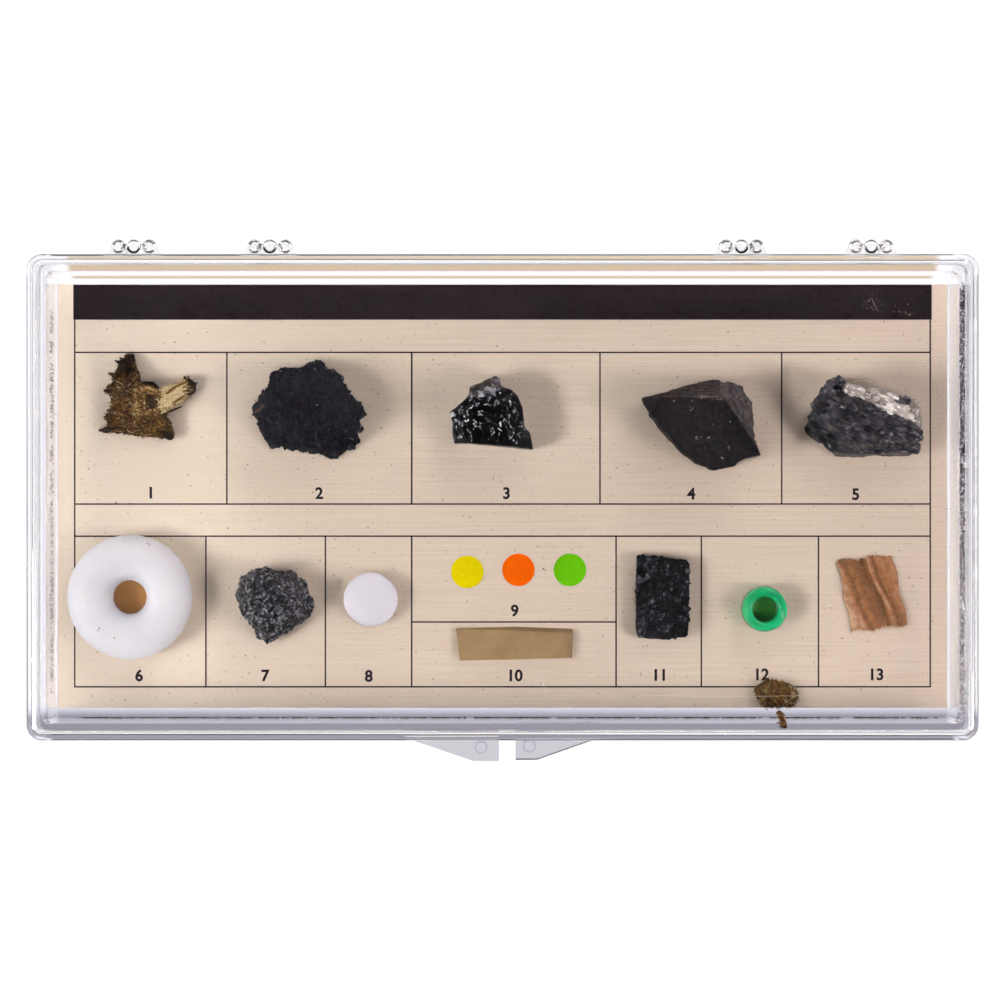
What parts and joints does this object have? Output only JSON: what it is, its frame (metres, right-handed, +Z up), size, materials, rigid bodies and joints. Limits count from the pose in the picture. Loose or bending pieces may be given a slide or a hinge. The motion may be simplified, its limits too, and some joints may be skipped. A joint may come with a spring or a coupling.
{
  "type": "boxed coal specimen set",
  "caption": "Clear hinged plastic case with a printed card inside, carrying glued lumps of peat and coal and small products made from coal.",
  "frame": {"origin": "centre of the case's underside", "axes": "+X along the case's length, to the right when the hinges are at the back; +Y towards the hinges; +Z up through the lid"},
  "size_m": [0.18, 0.1003, 0.025],
  "materials": {
    "clear_base": "clear moulded polystyrene",
    "clear_lid": "clear moulded polystyrene, lightly scratched",
    "card": "printed matt board",
    "peat": "dry matted fibres",
    "lignite": "dull and crumbly",
    "bituminous_coal": "glossy, broken in small steps",
    "cannel_coal": "dull, smooth fracture",
    "anthracite": "bright, half metallic",
    "clear_glue": "clear hardened glue",
    "mint": "pressed sugar, satin",
    "coke": "porous, grey sheen",
    "tablet": "pressed powder, matt",
    "yellow_dot": "printed label paper",
    "orange_dot": "printed label paper",
    "green_dot": "printed label paper",
    "rubber": "matt cut rubber",
    "tar_paper": "stone granules in tar",
    "green_plastic": "moulded, half translucent",
    "nylon": "sheer knit"
  },
  "bodies": {
    "case": {"base": "clear_base", "card": "card", "peat": "peat", "lignite": "lignite", "bituminous_coal": "bituminous_coal", "cannel_coal": "cannel_coal", "anthracite": "anthracite", "anthracite_glue": "clear_glue", "mint_ring": "mint", "coke": "coke", "tablet": "tablet", "yellow_dot": "yellow_dot", "orange_dot": "orange_dot", "green_dot": "green_dot", "rubber_strip": "rubber", "tar_paper": "tar_paper", "tar_paper_glue": "clear_glue", "plastic_ring": "green_plastic", "nylon_scrap": "nylon", "loose_peat": "peat", "loose_peat_strand": "peat"},
    "lid": {"lid": "clear_lid"}
  },
  "joints": [
    {"name": "lid_hinge", "type": "hinge", "parent": "case", "child": "lid", "pos_m": [0, 0.0483, 0.0127], "axis": [-1, 0, 0], "range_deg": [0, 180]}
  ]
}
